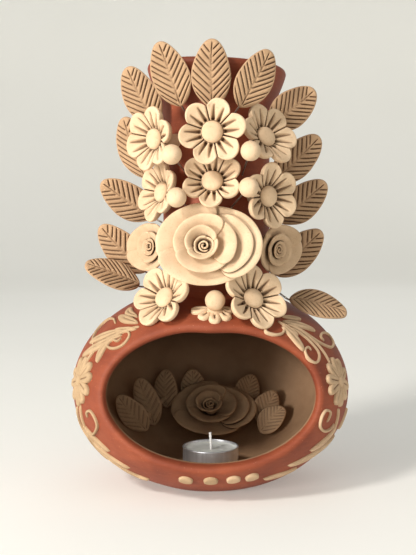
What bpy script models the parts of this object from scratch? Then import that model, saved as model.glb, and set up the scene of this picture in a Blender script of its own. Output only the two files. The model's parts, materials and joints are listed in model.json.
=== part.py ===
"""Clay tree of life candle holder.

A squashed round pot with an oval mouth holds a tealight. A flared neck rises from its top as a flue,
and carries a tree of clay flowers, roses, buds and leaves, the leaves and some buds on wires. Lengths
are in metres. The origin is the centre of the flat base, the mouth faces -Y and +Z is up.
"""

from math import atan2, cos, hypot, pi, radians, sin, sqrt

import bmesh
import bpy
from mathutils import Matrix, Vector

GAP = 0.0003
MERGE = 0.00001

# The pot: two ellipsoids on one centre, with an oval mouth at the front.
POT_HALF_WIDTH = 0.0975
POT_HALF_HEIGHT = 0.072
POT_CENTRE_Z = 0.066
CAVITY_HALF_WIDTH = 0.0895
CAVITY_HALF_HEIGHT = 0.0615
FLOOR_Z = 0.0125
FLOOR_SLAB_RADIUS = 0.046
LIP_BULGE = 0.0035
POT_COLUMNS = 40

# Edges of the mouth: half-width, half-height and height of the middle.
MOUTH_OUTER = (0.0735, 0.0475, 0.0704)
MOUTH_INNER = (0.0682, 0.0420, 0.0704)

# The neck, which stands in a seat cut in the pot's top.
NECK_X = 0.0042
NECK_RADIUS = 0.0375
FLUE_RADIUS = 0.0315
SEAT_Z = 0.130
SEAT_RADIUS = NECK_RADIUS + 0.0006
NECK_TOP = 0.290
RIM_RADIUS = 0.0484
RIM_SLOPE = -0.045
RIM_SLOPE_FROM = 0.235
NECK_STEPS = 36

# The tealight on the pot's floor.
TEALIGHT_Y = -0.024
CUP_RADIUS = 0.01925
CUP_HEIGHT = 0.0155
CUP_WALL = 0.0006
WAX_TOP = 0.0130
WICK_RADIUS = 0.0011
WICK_TOP = 0.0245

# Clay pieces and wires of the tree.
PETALS = 6
BUTTON_RADIUS = 0.0070
PEG_RADIUS = 0.0045
BUD_RADIUS = 0.0066
WIRE_RADIUS = 0.0006
LEAF_THICKNESS = 0.0036
LEAF_WIDTH = 0.0255
WIRE_DROP = 0.004
LOWEST_ROOT = 0.138

# Flowers: azimuth round the neck from the front, distance of the button's foot from the neck's axis,
# height, the azimuth and elevation that they face, spin, and radius.
FLOWERS = {
    "flower_top_left": (-46, 0.0575, 0.2372, -45, 0, -15, 0.0222),
    "flower_top_centre": (-3, 0.0640, 0.2397, -3, 0, -17, 0.0222),
    "flower_top_right": (37.5, 0.0525, 0.2386, 37, 23, 20, 0.0220),
    "flower_mid_left": (-52, 0.0470, 0.2025, -55, 12, -5, 0.0222),
    "flower_mid_centre": (-3.5, 0.0545, 0.2090, -3, 22, -2, 0.0207),
    "flower_mid_right": (38, 0.0545, 0.1995, 36, 0, 5, 0.0222),
    "flower_low_left": (-33.9, 0.0614, 0.1331, -40, 26, -15, 0.0230),
    "flower_low_right": (23.6, 0.0585, 0.1327, 30, 26, 0, 0.0232),
}

# Roses on the neck: as the flowers, with the back's distance, and half-widths to the left, to the
# right and upwards.
ROSES = {
    "rose_centre": (-6.0, 0.0517, 0.1664, -5, 12, 0, 0.0345, 0.0345, 0.0264),
    "rose_left": (-58, 0.0450, 0.1645, -49, 6, 0, 0.0290, 0.0165, 0.0165),
    "rose_right": (50, 0.0450, 0.1650, 44, -6, 0, 0.0165, 0.0270, 0.0170),
}
ROSE_DEPTH = 0.0150
INNER_ROSE_CENTRE = (0.0020, 0.0520, 0.0330)
INNER_ROSE_ELEVATION = 52
INNER_ROSE_HALF_WIDTHS = (0.0325, 0.0325, 0.0255)

# Buds on wires: centre of the ball, and the azimuth and height where the wire leaves the neck.
WIRE_BUDS = {
    "bud_top_left": ((-0.0247, -0.0700, 0.2250), -28, 0.213),
    "bud_top_right": ((0.0250, -0.0700, 0.2272), 26, 0.214),
    "bud_mid_left": ((-0.0218, -0.0670, 0.1982), -22, 0.189),
    "bud_mid_right": ((0.0240, -0.0680, 0.2045), 14, 0.192),
}
LOW_BUD = (0.0026, -0.0570)
LOW_BUD_RISE = 0.0088
CUSHION_RADIUS = 0.0056

# Leaves: base, tip, and the azimuth and elevation that the upper face turns to.
LEAVES = {
    "leaf_top_left": ((-0.0192, -0.0420, 0.2587), (-0.0331, -0.0530, 0.2982), -15, 0),
    "leaf_top_centre": ((0.0011, -0.0470, 0.2567), (0.0007, -0.0570, 0.2994), 0, 0),
    "leaf_top_right": ((0.0182, -0.0500, 0.2570), (0.0375, -0.0545, 0.2925), 25, 0),
    "leaf_left_1": ((-0.0363, -0.0220, 0.2485), (-0.0556, -0.0300, 0.2859), -20, 0),
    "leaf_left_2": ((-0.0443, -0.0040, 0.2134), (-0.0592, -0.0110, 0.2550), -25, 0),
    "leaf_left_3": ((-0.0405, 0.0030, 0.1860), (-0.0762, -0.0080, 0.2106), -15, 0),
    "leaf_left_4": ((-0.0468, 0.0035, 0.1470), (-0.0771, -0.0055, 0.1802), -15, 0),
    "leaf_left_5": ((-0.0500, -0.0120, 0.1376), (-0.0870, -0.0180, 0.1528), -20, 48),
    "leaf_right_1": ((0.0400, -0.0240, 0.2470), (0.0700, -0.0280, 0.2710), 15, 0),
    "leaf_right_2": ((0.0442, -0.0080, 0.2110), (0.0748, -0.0140, 0.2414), 20, 0),
    "leaf_right_3": ((0.0468, -0.0030, 0.1832), (0.0796, -0.0120, 0.2105), 15, 0),
    "leaf_right_4": ((0.0463, -0.0030, 0.1451), (0.0769, -0.0120, 0.1769), 15, 0),
    "leaf_right_5": ((0.0540, -0.0200, 0.1290), (0.0940, -0.0180, 0.1184), 10, 48),
}

# Leaves round the inner rose, in two groups that are each one piece.
INNER_LEAF_WIDTH = 0.0200
INNER_LEAVES = {
    "inner_leaves_left": (
        ((-0.0475, 0.0315, 0.0260), (-0.0690, 0.0280, 0.0530), -20, 15),
        ((-0.0423, 0.0440, 0.0270), (-0.0550, 0.0440, 0.0640), -15, 10),
        ((-0.0340, 0.0610, 0.0370), (-0.0350, 0.0630, 0.0670), -20, 10),
        ((-0.0129, 0.0700, 0.0370), (-0.0146, 0.0720, 0.0660), 0, 10),
    ),
    "inner_leaves_right": (
        ((0.0235, 0.0640, 0.0390), (0.0332, 0.0690, 0.0620), 5, 10),
        ((0.0367, 0.0500, 0.0280), (0.0504, 0.0560, 0.0510), 10, 15),
        ((0.0380, 0.0360, 0.0230), (0.0561, 0.0430, 0.0410), 25, 30),
    ),
}
TWIG_RADIUS = 0.0022
TWIG_SHARE = 0.26

# Relief on the pot's front. Angles go round the mouth from +X towards +Z, and reach is 0 at the
# pot's widest section and 1 at the mouth's edge.
RELIEF_HEIGHT = 0.0016
DAISY_RADIUS = 0.0180
DAISY_PETALS = 9
DAISIES = {"daisy_left": (173, 0.62), "daisy_right": (7, 0.69)}
STEM_RADIUS = 0.0011
STEM_REACH = 0.50
STEMS = {
    "spray_upper_left": (122, 158),
    "spray_upper_right": (58, 22),
    "spray_lower_left": (188, 246),
    "spray_lower_right": (-8, -66),
}
STEM_POINTS = 9

TERRACOTTA = ((0.36, 0.085, 0.035), 0.75, 0.0)
CLAY = ((0.72, 0.52, 0.33), 0.80, 0.0)
WIRE_STEEL = ((0.35, 0.30, 0.26), 0.45, 0.9)
ALUMINIUM = ((0.78, 0.79, 0.80), 0.35, 1.0)
WAX = ((0.80, 0.80, 0.78), 0.45, 0.0)
COTTON = ((0.90, 0.89, 0.87), 0.90, 0.0)


# Collections, materials and objects


def clear_scene():
    for obj in list(bpy.data.objects):
        bpy.data.objects.remove(obj, do_unlink=True)


def new_collection(name):
    collection = bpy.data.collections.new(name)
    bpy.context.scene.collection.children.link(collection)
    return collection


def new_material(name, look):
    colour, roughness, metallic = look
    material = bpy.data.materials.new(name)
    material.use_nodes = True
    shader = material.node_tree.nodes["Principled BSDF"]
    shader.inputs["Base Color"].default_value = (*colour, 1.0)
    shader.inputs["Roughness"].default_value = roughness
    shader.inputs["Metallic"].default_value = metallic
    material.diffuse_color = (*colour, 1.0)
    return material


def new_object(name, data, collection, look=None, matrix=None):
    obj = bpy.data.objects.new(name, data)
    collection.objects.link(obj)
    if look:
        data.materials.clear()
        data.materials.append(new_material(name, look))
    if matrix:
        obj.matrix_world = matrix
    if obj.type == "MESH":
        data.shade_smooth()
        data.set_sharp_from_angle(angle=radians(40))
    return obj


def mesh_from(name, fill):
    """A mesh made by fill(bm)."""
    bm = bmesh.new()
    fill(bm)
    bmesh.ops.recalc_face_normals(bm, faces=bm.faces)
    mesh = bpy.data.meshes.new(name)
    bm.to_mesh(mesh)
    bm.free()
    return mesh


def cutter(name, mesh, collection, matrix=None):
    obj = new_object(name, mesh, collection, matrix=matrix)
    obj.hide_render = True
    obj.display_type = "WIRE"
    return obj


def boolean(obj, other, operation):
    modifier = obj.modifiers.new(other.name, "BOOLEAN")
    modifier.object = other
    modifier.operation = operation
    modifier.solver = "EXACT"


def baked(obj):
    """The object's mesh with its modifiers worked out. The object itself is removed."""
    graph = bpy.context.evaluated_depsgraph_get()
    mesh = bpy.data.meshes.new_from_object(obj.evaluated_get(graph))
    mesh.name = obj.name
    bpy.data.objects.remove(obj, do_unlink=True)
    return mesh


def turned(name, profile, steps, closed):
    """A mesh turned round Z from (radius, height) points that run down the outer side."""
    count = len(profile)
    edges = [(i, i + 1) for i in range(count - 1)]
    if closed:
        edges.append((count - 1, 0))
    mesh = bpy.data.meshes.new(name)
    mesh.from_pydata([(r, 0.0, z) for r, z in profile], edges, [])
    obj = bpy.data.objects.new(name, mesh)
    bpy.context.scene.collection.objects.link(obj)
    screw = obj.modifiers.new("Turn", "SCREW")
    screw.steps = steps
    screw.render_steps = steps
    screw.use_merge_vertices = True
    screw.merge_threshold = MERGE
    return baked(obj)


def cylinder(name, radius, bottom, top, segments):
    def fill(bm):
        bmesh.ops.create_cone(
            bm, cap_ends=True, segments=segments, radius1=radius, radius2=radius, depth=top - bottom
        )
        bmesh.ops.translate(bm, verts=bm.verts, vec=(0, 0, (top + bottom) / 2))

    return mesh_from(name, fill)


# Frames of reference


def direction(azimuth, elevation=0.0):
    """A unit vector: azimuth in degrees from the front (-Y) towards +X, elevation up from level."""
    a, e = radians(azimuth), radians(elevation)
    return Vector((sin(a) * cos(e), -cos(a) * cos(e), sin(e)))


def neck_point(azimuth, distance, z):
    return Vector((NECK_X, 0, z)) + direction(azimuth) * distance


def facing(place, azimuth, elevation, spin=0.0):
    """A frame at place whose Z points to azimuth and elevation, with Y up and X to the right."""
    return (
        Matrix.Translation(place)
        @ Matrix.Rotation(radians(azimuth), 4, "Z")
        @ Matrix.Rotation(radians(90 - elevation), 4, "X")
        @ Matrix.Rotation(radians(spin), 4, "Z")
    )


def along(base, tip, azimuth, elevation):
    """A frame at base whose Y points to tip, with Z turned as near as it goes to a direction."""
    y = (tip - base).normalized()
    z = direction(azimuth, elevation)
    z = (z - z.dot(y) * y).normalized()
    x = y.cross(z)
    frame = Matrix((x, y, z)).transposed().to_4x4()
    frame.translation = base
    return frame


# The pot


def mouth_on_sphere(angle, mouth, half_width, half_height):
    """The mouth's edge at an angle, on the unit sphere that a shell is a stretched copy of."""
    x = mouth[0] * cos(angle) / half_width
    z = (mouth[2] - POT_CENTRE_Z + mouth[1] * sin(angle)) / half_height
    return Vector((x, -sqrt(1 - x * x - z * z), z))


def stretched(point, half_width, half_height):
    return Vector((point.x * half_width, point.y * half_width, POT_CENTRE_Z + point.z * half_height))


def front_point(angle, reach, mouth=MOUTH_OUTER, shell=(POT_HALF_WIDTH, POT_HALF_HEIGHT)):
    """A point of a shell's front half: reach runs from its widest section to the mouth's edge."""
    start = Vector((cos(angle), 0, sin(angle)))
    return stretched(start.slerp(mouth_on_sphere(angle, mouth, *shell), reach), *shell)


def back_point(angle, turn, shell):
    """A point of a shell's back half: turn runs from 0 at the back pole to 1 at the widest section."""
    side = sin(turn * pi / 2)
    return stretched(Vector((side * cos(angle), cos(turn * pi / 2), side * sin(angle))), *shell)


def lip_point(angle, share):
    """A point of the rounded lip, from the mouth's outer edge to its inner edge."""
    outer = front_point(angle, 1.0)
    inner = front_point(angle, 1.0, MOUTH_INNER, (CAVITY_HALF_WIDTH, CAVITY_HALF_HEIGHT))
    out = Vector((-0.35 * cos(angle), -0.9, -0.35 * sin(angle))).normalized()
    return outer.lerp(inner, share) + out * LIP_BULGE * sin(pi * share)


def pot_rings():
    """Functions of the angle, one for each ring of points, from the outer pole to the inner pole."""
    outer = (POT_HALF_WIDTH, POT_HALF_HEIGHT)
    inner = (CAVITY_HALF_WIDTH, CAVITY_HALF_HEIGHT)
    rings = [lambda a, t=t: back_point(a, t / 7, outer) for t in range(1, 7)]
    rings += [lambda a, t=t: front_point(a, t / 4) for t in range(5)]
    rings += [lambda a, s=s: lip_point(a, s) for s in (0.22, 0.5, 0.78)]
    rings += [lambda a, t=t: front_point(a, t / 4, MOUTH_INNER, inner) for t in (4, 3, 2, 1, 0)]
    rings += [lambda a, t=t: back_point(a, t / 6, inner) for t in (5, 4, 3, 2, 1)]
    return rings


def fill_pot(bm):
    angles = [2 * pi * i / POT_COLUMNS for i in range(POT_COLUMNS)]
    rings = [[bm.verts.new(ring(a)) for a in angles] for ring in pot_rings()]
    for near, far in zip(rings, rings[1:]):
        for i in range(POT_COLUMNS):
            j = (i + 1) % POT_COLUMNS
            bm.faces.new((near[i], near[j], far[j], far[i]))
    poles = ((rings[0], POT_HALF_WIDTH), (rings[-1], CAVITY_HALF_WIDTH))
    for ring, depth in poles:
        pole = bm.verts.new((0, depth, POT_CENTRE_Z))
        for i in range(POT_COLUMNS):
            bm.faces.new((ring[i], ring[(i + 1) % POT_COLUMNS], pole))


def make_pot(parts, cutters):
    pot = new_object("pot_body", mesh_from("pot_body", fill_pot), parts, TERRACOTTA)
    slab = cylinder("floor_slab", FLOOR_SLAB_RADIUS, FLOOR_Z - 0.0085, FLOOR_Z, 32)
    boolean(pot, cutter("floor_slab", slab, cutters), "UNION")
    below = cylinder("below_base", 0.12, -0.03, 0.0, 24)
    boolean(pot, cutter("below_base", below, cutters), "DIFFERENCE")
    on_neck = Matrix.Translation((NECK_X, 0, 0))
    seat = cylinder("neck_seat", SEAT_RADIUS, SEAT_Z, SEAT_Z + 0.03, NECK_STEPS)
    boolean(pot, cutter("neck_seat", seat, cutters, on_neck), "DIFFERENCE")
    flue = cylinder("flue_hole", FLUE_RADIUS, 0.10, SEAT_Z + 0.02, NECK_STEPS)
    boolean(pot, cutter("flue_hole", flue, cutters, on_neck), "DIFFERENCE")


def make_neck(parts):
    low = SEAT_Z + GAP
    profile = [
        (0.0455, NECK_TOP),
        (0.0478, NECK_TOP - 0.0012),
        (RIM_RADIUS, NECK_TOP - 0.0040),
        (0.0468, NECK_TOP - 0.0110),
        (0.0420, NECK_TOP - 0.0220),
        (0.0385, NECK_TOP - 0.0330),
        (NECK_RADIUS, NECK_TOP - 0.0450),
        (NECK_RADIUS, 0.190),
        (NECK_RADIUS, low),
        (FLUE_RADIUS, low),
        (FLUE_RADIUS, 0.190),
        (FLUE_RADIUS, NECK_TOP - 0.0430),
        (0.0335, NECK_TOP - 0.0300),
        (0.0385, NECK_TOP - 0.0150),
        (0.0430, NECK_TOP - 0.0030),
    ]
    mesh = turned("neck", profile, NECK_STEPS, closed=True)
    for vertex in mesh.vertices:
        share = max(0.0, vertex.co.z - RIM_SLOPE_FROM) / (NECK_TOP - RIM_SLOPE_FROM)
        vertex.co.z += RIM_SLOPE * vertex.co.x * share
    new_object("neck", mesh, parts, TERRACOTTA, Matrix.Translation((NECK_X, 0, 0)))


# The tealight


def make_tealight(parts):
    stand = Matrix.Translation((0, TEALIGHT_Y, FLOOR_Z + GAP))
    inside = CUP_RADIUS - CUP_WALL
    cup = [
        (CUP_RADIUS + 0.0002, CUP_HEIGHT),
        (CUP_RADIUS, CUP_HEIGHT - 0.0010),
        (CUP_RADIUS, 0.0008),
        (CUP_RADIUS - 0.0008, 0.0),
        (0.0, 0.0),
    ]
    cup += [(0.0, CUP_WALL), (inside, CUP_WALL), (inside, CUP_HEIGHT - 0.0004)]
    new_object("tealight_cup", turned("tealight_cup", cup, 28, closed=True), parts, ALUMINIUM, stand)
    edge = inside - GAP
    low = CUP_WALL + GAP
    hole = WICK_RADIUS + GAP
    wax = [(edge, WAX_TOP + 0.0004), (edge, low), (hole, low), (hole, WAX_TOP), (edge * 0.8, WAX_TOP)]
    new_object("tealight_wax", turned("tealight_wax", wax, 28, closed=True), parts, WAX, stand)
    wick = cylinder("tealight_wick", WICK_RADIUS, low, WICK_TOP, 10)
    new_object("tealight_wick", wick, parts, COTTON, stand)


# Flowers, roses and buds


def smooth_step(value, low, high):
    share = min(1.0, max(0.0, (value - low) / (high - low)))
    return share * share * (3 - 2 * share)


def pot_height(x, y):
    """Height of the pot's top surface over (x, y)."""
    return POT_CENTRE_Z + POT_HALF_HEIGHT * sqrt(max(0.0, 1 - (x * x + y * y) / POT_HALF_WIDTH**2))


def clay_peg_length(place, out):
    """How far a peg goes back from place, against out, until it nears the neck or the pot's top."""
    level = hypot(out.x, out.y)
    beside_neck = NECK_RADIUS + GAP + PEG_RADIUS * abs(out.z) + 0.0005
    above_pot = PEG_RADIUS * level + 0.0012
    length = 0.0
    end = Vector(place)
    while hypot(end.x - NECK_X, end.y) > beside_neck and end.z - pot_height(end.x, end.y) > above_pot:
        length += 0.0001
        end = Vector(place) - length * out
    return length


def petal_outline(mesh, radius, petals, core, notch):
    """Draws the rim in between petals. Angle 0 of the first petal is +Y."""
    for vertex in mesh.vertices:
        x, y = vertex.co.x, vertex.co.y
        distance = hypot(x, y)
        if distance <= core:
            continue
        angle = atan2(x, y)
        share = smooth_step(distance, core, radius)
        scale = 1 - notch * share * (1 - abs(cos(petals * angle / 2)) ** 0.7)
        vertex.co.x, vertex.co.y = x * scale, y * scale


def make_flower(name, row, parts):
    azimuth, distance, z, face_azimuth, face_elevation, spin, radius = row
    place = neck_point(azimuth, distance, z)
    out = direction(face_azimuth, face_elevation)
    back = -clay_peg_length(place, out)
    profile = [
        (0.0, 0.0056),
        (0.0045, 0.0048),
        (BUTTON_RADIUS, 0.0015),
        (radius * 0.68, 0.0026),
        (radius, 0.0060),
        (radius * 0.98, 0.0036),
        (radius * 0.55, -0.0014),
        (PEG_RADIUS, -0.0030),
        (PEG_RADIUS, back),
        (0.0, back),
    ]
    mesh = turned(name, profile, 4 * PETALS, closed=False)
    petal_outline(mesh, radius, PETALS, BUTTON_RADIUS + 0.0005, 0.26)
    matrix = facing(place, face_azimuth, face_elevation, spin)
    new_object(name, mesh, parts, CLAY, matrix)


def rose_mesh(name, half_widths, depth, back):
    """A rose from rims of petals, one inside the other, stretched to its half-widths."""
    left, right, up = half_widths
    profile = [
        (0.0, 0.92),
        (0.10, 0.90),
        (0.17, 0.66),
        (0.33, 0.98),
        (0.42, 0.66),
        (0.66, 0.90),
        (0.74, 0.48),
        (0.98, 0.70),
        (1.0, 0.60),
        (0.60, 0.14),
        (0.30, 0.0),
    ]
    points = [(right * r, depth * z) for r, z in profile]
    points += [(PEG_RADIUS, 0.0), (PEG_RADIUS, back), (0.0, back)]
    mesh = turned(name, points, 20, closed=False)
    for vertex in mesh.vertices:
        if vertex.co.z < 0.0 or hypot(vertex.co.x, vertex.co.y) < PEG_RADIUS * 1.01:
            continue
        if vertex.co.x < 0:
            vertex.co.x *= left / right
        vertex.co.y *= up / right
    return mesh


def make_rose(name, row, parts):
    azimuth, distance, z, face_azimuth, face_elevation, spin, left, right, up = row
    place = neck_point(azimuth, distance, z)
    out = direction(face_azimuth, face_elevation)
    depth = ROSE_DEPTH * sqrt(right / 0.0345) if name == "rose_centre" else ROSE_DEPTH * 0.75
    mesh = rose_mesh(name, (left, right, up), depth, -clay_peg_length(place, out))
    new_object(name, mesh, parts, CLAY, facing(place, face_azimuth, face_elevation, spin))


def make_inner_rose(parts):
    mesh = rose_mesh("rose_inner", INNER_ROSE_HALF_WIDTHS, ROSE_DEPTH, -0.004)
    matrix = facing(Vector(INNER_ROSE_CENTRE), 0, INNER_ROSE_ELEVATION)
    new_object("rose_inner", mesh, parts, CLAY, matrix)


def ball(name, radius):
    def fill(bm):
        bmesh.ops.create_uvsphere(bm, u_segments=12, v_segments=8, radius=radius)

    return mesh_from(name, fill)


def make_wire(name, start, end, parts):
    curve = bpy.data.curves.new(name, "CURVE")
    curve.dimensions = "3D"
    curve.bevel_depth = WIRE_RADIUS
    curve.bevel_resolution = 1
    curve.use_fill_caps = True
    spline = curve.splines.new("POLY")
    spline.points.add(1)
    spline.points[0].co = (*start, 1)
    spline.points[1].co = (*end, 1)
    new_object(name, curve, parts, WIRE_STEEL)


def make_wire_bud(name, centre, azimuth, root_z, parts):
    centre = Vector(centre)
    new_object(name, ball(name, BUD_RADIUS), parts, CLAY, Matrix.Translation(centre))
    root = neck_point(azimuth, NECK_RADIUS + WIRE_RADIUS + GAP, root_z)
    way = (centre - root).normalized()
    make_wire(name + "_wire", root, centre - way * (BUD_RADIUS + GAP), parts)


def shoulder_frame(x, y):
    """A frame on the pot's top over (x, y), with Z out of the clay."""
    z = pot_height(x, y)
    normal = Vector((x, y, 0)) / POT_HALF_WIDTH**2
    normal.z = (z - POT_CENTRE_Z) / POT_HALF_HEIGHT**2
    matrix = Vector((0, 0, 1)).rotation_difference(normal).to_matrix().to_4x4()
    matrix.translation = (x, y, z)
    return matrix


def make_low_bud(parts):
    """A ball on a small cushion, made as one piece, on the pot's shoulder."""
    foot = GAP + 0.0001
    turns = [pi * i / 7 for i in range(6)]
    profile = [(BUD_RADIUS * sin(a), LOW_BUD_RISE + BUD_RADIUS * cos(a)) for a in turns]
    profile += [(CUSHION_RADIUS, 0.0026), (CUSHION_RADIUS * 0.95, foot), (0.0, foot)]
    mesh = turned("bud_low", profile, 14, closed=False)
    new_object("bud_low", mesh, parts, CLAY, shoulder_frame(*LOW_BUD))


# Leaves


def leaf_half_width(share):
    """Half-width of a leaf, as a share of its widest, from the base at 0 to the tip at 1."""
    return sin(pi * share**1.05) ** 0.5 if 0 < share < 1 else 0.0


def leaf_mesh(name, length, width):
    """A leaf in the XY plane with its base at the origin, its tip at +Y and its face to +Z."""
    mesh = ball(name, 1.0)
    for vertex in mesh.vertices:
        x, y, z = vertex.co
        reach = min(1.0, hypot(x, y))
        angle = atan2(y, x)
        edge = (1 + sin(angle)) / 2
        share = 0.5 + (edge - 0.5) * reach
        side = leaf_half_width(0.5 + (edge - 0.5)) if reach else 0.0
        across = (1 if cos(angle) >= 0 else -1) * side * reach * width / 2
        bend = 0.0016 * (1 - (2 * share - 1) ** 2)
        thick = abs(z) ** 0.6 * LEAF_THICKNESS / 2 * (1 if z >= 0 else -1)
        vertex.co = (across, share * length, thick + bend)
    return mesh


def make_leaf(name, row, parts):
    base, tip = Vector(row[0]), Vector(row[1])
    matrix = along(base, tip, row[2], row[3])
    new_object(name, leaf_mesh(name, (tip - base).length, LEAF_WIDTH), parts, CLAY, matrix)
    level = Vector((base.x - NECK_X, base.y, 0))
    root = Vector((NECK_X, 0, max(base.z - WIRE_DROP, LOWEST_ROOT)))
    root += level.normalized() * (neck_radius(root.z) + WIRE_RADIUS + GAP)
    way = (base - root).normalized()
    make_wire(name + "_wire", root, base - way * GAP * 2, parts)


def neck_radius(z):
    flare_from = NECK_TOP - 0.0450
    return NECK_RADIUS if z < flare_from else NECK_RADIUS + 0.0022 * (z - flare_from) / 0.0120


def make_inner_leaves(name, parts, cutters):
    curve = bpy.data.curves.new(name, "CURVE")
    curve.dimensions = "3D"
    curve.bevel_depth = TWIG_RADIUS
    curve.bevel_resolution = 1
    curve.use_fill_caps = True
    points = [Vector(row[0]).lerp(Vector(row[1]), TWIG_SHARE) for row in INNER_LEAVES[name]]
    spline = curve.splines.new("POLY")
    spline.points.add(len(points) - 1)
    for point, co in zip(spline.points, points):
        point.co = (*co, 1)
    tube = bpy.data.objects.new(name + "_twig", curve)
    bpy.context.scene.collection.objects.link(tube)
    mesh = baked(tube)
    bm = bmesh.new()
    bm.from_mesh(mesh)
    bmesh.ops.remove_doubles(bm, verts=bm.verts, dist=MERGE)
    bmesh.ops.recalc_face_normals(bm, faces=bm.faces)
    bm.to_mesh(mesh)
    bm.free()
    group = new_object(name, mesh, parts, CLAY)
    for number, row in enumerate(INNER_LEAVES[name]):
        base, tip = Vector(row[0]), Vector(row[1])
        leaf = leaf_mesh(f"{name}_{number}", (tip - base).length, INNER_LEAF_WIDTH)
        matrix = along(base, tip, row[2], row[3])
        boolean(group, cutter(f"{name}_{number}", leaf, cutters, matrix), "UNION")


# Relief on the pot


def relief_frame(angle, reach):
    """A frame on the pot's front: Z out of the clay, Y away from the mouth's edge."""
    place = front_point(angle, reach)
    normal = Vector((place.x, place.y, 0)) / POT_HALF_WIDTH**2
    normal.z = (place.z - POT_CENTRE_Z) / POT_HALF_HEIGHT**2
    normal.normalize()
    away = front_point(angle, reach - 0.02) - place
    y = (away - away.dot(normal) * normal).normalized()
    frame = Matrix((y.cross(normal), y, normal)).transposed().to_4x4()
    frame.translation = place
    return frame


def make_daisy(name, angle, reach, parts):
    low = GAP + 0.0001
    profile = [
        (0.0, RELIEF_HEIGHT + 0.0012),
        (0.0034, RELIEF_HEIGHT + 0.0006),
        (0.0042, RELIEF_HEIGHT),
        (DAISY_RADIUS * 0.93, RELIEF_HEIGHT),
        (DAISY_RADIUS, low),
        (0.0, low),
    ]
    mesh = turned(name, profile, 4 * DAISY_PETALS, closed=False)
    petal_outline(mesh, DAISY_RADIUS, DAISY_PETALS, 0.0045, 0.16)
    new_object(name, mesh, parts, CLAY, relief_frame(radians(angle), reach))


def make_stem(name, start, end, parts):
    curve = bpy.data.curves.new(name, "CURVE")
    curve.dimensions = "3D"
    curve.bevel_depth = STEM_RADIUS
    curve.bevel_resolution = 1
    curve.use_fill_caps = True
    spline = curve.splines.new("POLY")
    spline.points.add(STEM_POINTS - 1)
    for i, point in enumerate(spline.points):
        angle = radians(start + (end - start) * i / (STEM_POINTS - 1))
        frame = relief_frame(angle, STEM_REACH)
        point.co = (*(frame @ Vector((0, 0, STEM_RADIUS + 2 * GAP))), 1)
    new_object(name, curve, parts, CLAY)


def main():
    clear_scene()
    parts = new_collection("clay_tree_of_life")
    cutters = new_collection("cutters")
    make_pot(parts, cutters)
    make_neck(parts)
    make_tealight(parts)
    for name, row in FLOWERS.items():
        make_flower(name, row, parts)
    for name, row in ROSES.items():
        make_rose(name, row, parts)
    make_inner_rose(parts)
    for name, (centre, azimuth, root_z) in WIRE_BUDS.items():
        make_wire_bud(name, centre, azimuth, root_z, parts)
    make_low_bud(parts)
    for name, row in LEAVES.items():
        make_leaf(name, row, parts)
    for name in INNER_LEAVES:
        make_inner_leaves(name, parts, cutters)
    for name, (angle, reach) in DAISIES.items():
        make_daisy(name, angle, reach, parts)
    for name, (start, end) in STEMS.items():
        make_stem(name, start, end, parts)


main()
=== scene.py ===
"""Looks of the clay tree of life candle holder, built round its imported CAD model.

Each CAD node is stood for by a detailed piece on the same body: a burnished pot with a slip-coated
bowl, a thrown neck, pressed flowers, rolled roses, grooved leaves, clay balls, bent wires and the
pressed-on relief. Lengths are in metres, in the CAD's frame: the mouth faces -Y and +Z is up.
"""

import json
import random
import zlib
from math import cos, hypot, pi, radians, sin, sqrt

import bmesh
import bpy
import numpy as np
from mathutils import Matrix, Vector, noise

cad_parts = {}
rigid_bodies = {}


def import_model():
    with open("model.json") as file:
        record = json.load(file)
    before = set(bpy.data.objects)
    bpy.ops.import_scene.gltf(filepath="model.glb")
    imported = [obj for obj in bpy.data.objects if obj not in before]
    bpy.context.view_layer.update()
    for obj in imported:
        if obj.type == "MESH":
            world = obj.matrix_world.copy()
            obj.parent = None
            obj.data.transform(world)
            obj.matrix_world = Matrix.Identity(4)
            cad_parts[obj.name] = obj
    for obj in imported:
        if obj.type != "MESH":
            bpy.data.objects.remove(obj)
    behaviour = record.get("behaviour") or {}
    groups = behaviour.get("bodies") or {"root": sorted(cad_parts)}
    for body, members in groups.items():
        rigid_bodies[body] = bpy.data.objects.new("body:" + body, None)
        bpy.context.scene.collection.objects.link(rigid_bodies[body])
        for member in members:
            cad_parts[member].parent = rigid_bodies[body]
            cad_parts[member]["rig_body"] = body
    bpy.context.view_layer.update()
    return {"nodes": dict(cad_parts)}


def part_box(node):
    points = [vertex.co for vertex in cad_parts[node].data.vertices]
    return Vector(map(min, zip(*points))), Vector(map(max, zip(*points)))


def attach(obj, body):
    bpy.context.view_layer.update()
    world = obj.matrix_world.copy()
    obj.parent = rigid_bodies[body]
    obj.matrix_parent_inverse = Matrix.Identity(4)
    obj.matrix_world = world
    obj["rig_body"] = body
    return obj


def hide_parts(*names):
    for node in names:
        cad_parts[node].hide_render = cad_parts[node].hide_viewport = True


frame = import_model()

# The pot, as in the CAD: ellipsoids on one centre with an oval mouth.
POT = (0.0975, 0.072)
CAVITY = (0.0895, 0.0615)
POT_CENTRE_Z = 0.066
POT_CENTRE = Vector((0.0, 0.0, POT_CENTRE_Z))
FLOOR_Z = 0.0125

# Edges of the mouth, and the oval that the relief's places are measured to: half-width, half-height
# and height of the middle.
MOUTH_OUTER = (0.0735, 0.0475, 0.0704)
MOUTH_INNER = (0.0682, 0.0420, 0.0704)
RELIEF_OVAL = (0.0725, 0.0480, 0.0680)
LIP_BULGE = 0.0035
LIP_DIP = 0.0014
LIP_DIP_WIDTH = 0.013
FLOOR_BEND = 0.0035

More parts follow.
